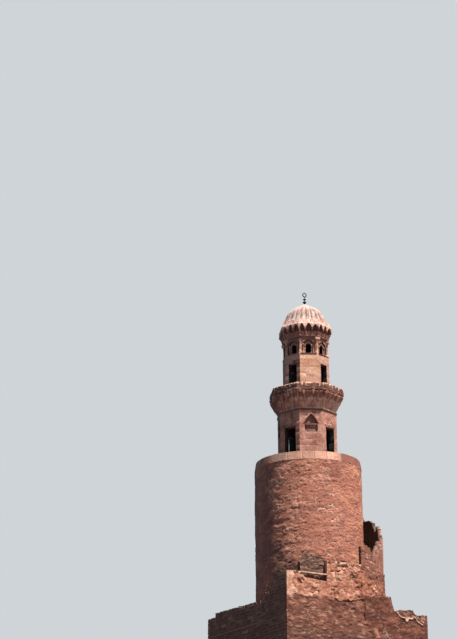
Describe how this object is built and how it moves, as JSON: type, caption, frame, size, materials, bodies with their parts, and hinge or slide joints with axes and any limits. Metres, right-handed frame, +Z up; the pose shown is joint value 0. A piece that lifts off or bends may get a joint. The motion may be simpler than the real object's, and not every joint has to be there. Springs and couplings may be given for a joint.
{
  "type": "spiral minaret, 1:2 scale model",
  "caption": "Stone minaret: square storey wound by an outside stair, round storey with spiral stair, octagonal storeys, balcony and ribbed dome.",
  "frame": {"origin": "centre of the base's bounding box, at ground level", "axes": "+Z up, +X to the right along the front face, +Y away from the viewer"},
  "size_m": [6.8, 6.4, 20.5456],
  "materials": {
    "ashlar": "weathered red-brown ashlar and rubble courses",
    "stair_stone": "worn stone treads",
    "dark_rubble": "dark weathered rubble",
    "round_masonry": "warm orange-brown coursed masonry",
    "pale_coping": "paler coping stones",
    "peach_stone": "dressed peach stone",
    "cornice_stone": "dark weathered carved stone",
    "dome_plaster": "pale weathered ribbed stone",
    "dark_bronze": "dark oxidised metal"
  },
  "bodies": {
    "root": {"square_storey": "ashlar", "stair_flight_left": "stair_stone", "stair_flight_front": "stair_stone", "stair_flight_right": "stair_stone", "stair_flight_back": "stair_stone", "stair_wall_left": "ashlar", "stair_wall_front": "ashlar", "stair_wall_right": "ashlar", "stair_wall_back": "ashlar", "top_landing_end_wall": "ashlar", "terrace_parapet_left": "ashlar", "terrace_parapet_front": "ashlar", "terrace_parapet_right": "ashlar", "terrace_parapet_back_right": "ashlar", "terrace_parapet_back_left": "ashlar", "corner_stump": "ashlar", "front_facing_wall": "ashlar", "rubble_backing_wall": "dark_rubble", "spiral_steps_front": "stair_stone", "spiral_steps_right": "stair_stone", "spiral_steps_back": "stair_stone", "spiral_parapet_front": "round_masonry", "spiral_wall_right": "round_masonry", "spiral_wall_back": "round_masonry", "drum": "round_masonry", "rim_wall": "round_masonry", "rim_coping": "pale_coping", "lower_octagon_plinth": "peach_stone", "lower_octagon_pier_1": "peach_stone", "lower_octagon_pier_2": "peach_stone", "lower_octagon_pier_3": "peach_stone", "lower_octagon_pier_4": "peach_stone", "lower_octagon_door_heads": "peach_stone", "balcony_muqarnas": "cornice_stone", "balcony_floor": "cornice_stone", "balcony_kerb": "cornice_stone", "lantern_pier_1": "peach_stone", "lantern_pier_2": "peach_stone", "lantern_pier_3": "peach_stone", "lantern_pier_4": "peach_stone", "lantern_window_band": "peach_stone", "upper_cornice": "cornice_stone", "dome": "dome_plaster", "finial": "dark_bronze"}
  },
  "joints": []
}
